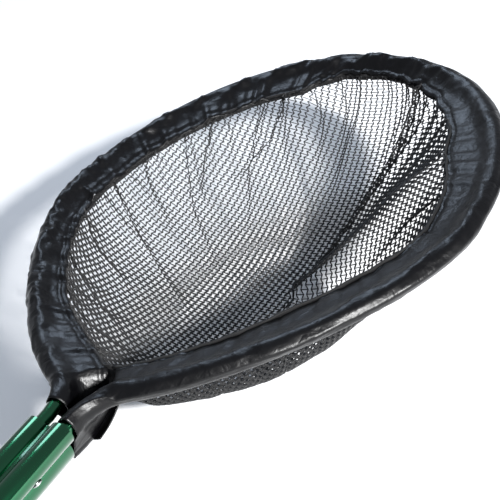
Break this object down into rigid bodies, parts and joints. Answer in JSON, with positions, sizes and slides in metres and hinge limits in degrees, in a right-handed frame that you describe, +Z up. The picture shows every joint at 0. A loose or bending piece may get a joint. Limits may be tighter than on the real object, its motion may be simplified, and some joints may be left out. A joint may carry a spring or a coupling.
{
  "type": "leaf skimmer net",
  "caption": "Oval hoop net with a sewn sleeve and hanging mesh bag on a twin-barrel yoke and a telescopic pole.",
  "frame": {"origin": "bottom centre of the whole net: under the middle of its length, on the surface that the bag rests on", "axes": "+X from the pole towards the tip of the hoop, +Y to the left of that, +Z up out of the net's mouth"},
  "size_m": [1.0636, 0.3606, 0.1002],
  "materials": {
    "green_anodised": "gloss green anodised",
    "satin_aluminium": "satin clear anodised",
    "plain_aluminium": "plain, as headed",
    "black_satin_nylon": "black satin woven nylon",
    "black_webbing": "black woven tape",
    "black_netting": "black knotless netting",
    "black_moulding": "black moulded, fine texture",
    "black_rubber": "black rubber",
    "black_foam": "black closed-cell foam"
  },
  "bodies": {
    "head": {"hoop_tube": "green_anodised", "rim_sleeve": "black_satin_nylon", "throat_patch": "black_satin_nylon", "hem_tape": "black_webbing", "net_bag": "black_netting", "yoke": "green_anodised", "prong_plug_left": "black_moulding", "prong_plug_right": "black_moulding", "barrel_plug_left": "black_moulding", "barrel_plug_right": "black_moulding", "prong_rivet_left": "plain_aluminium", "prong_rivet_right": "plain_aluminium", "pole_rivet_front": "plain_aluminium", "pole_rivet_rear": "plain_aluminium", "inner_pole": "satin_aluminium", "pole_front_plug": "black_moulding", "guide_bush": "black_moulding"},
    "handle": {"outer_pole": "green_anodised", "grip": "black_foam", "end_cap": "black_moulding", "cap_screw": "plain_aluminium", "collet": "black_moulding"},
    "collar": {"lock_collar": "black_moulding", "wiper_ring": "black_rubber"}
  },
  "joints": [
    {"name": "pole_slide", "type": "slide", "parent": "head", "child": "handle", "axis": [-1, 0, 0], "range_m": [0, 0.29]},
    {"name": "collar_twist", "type": "hinge", "parent": "handle", "child": "collar", "pos_m": [-0.054, 0, 0.0775], "axis": [1, 0, 0], "range_deg": [0, 90]}
  ]
}
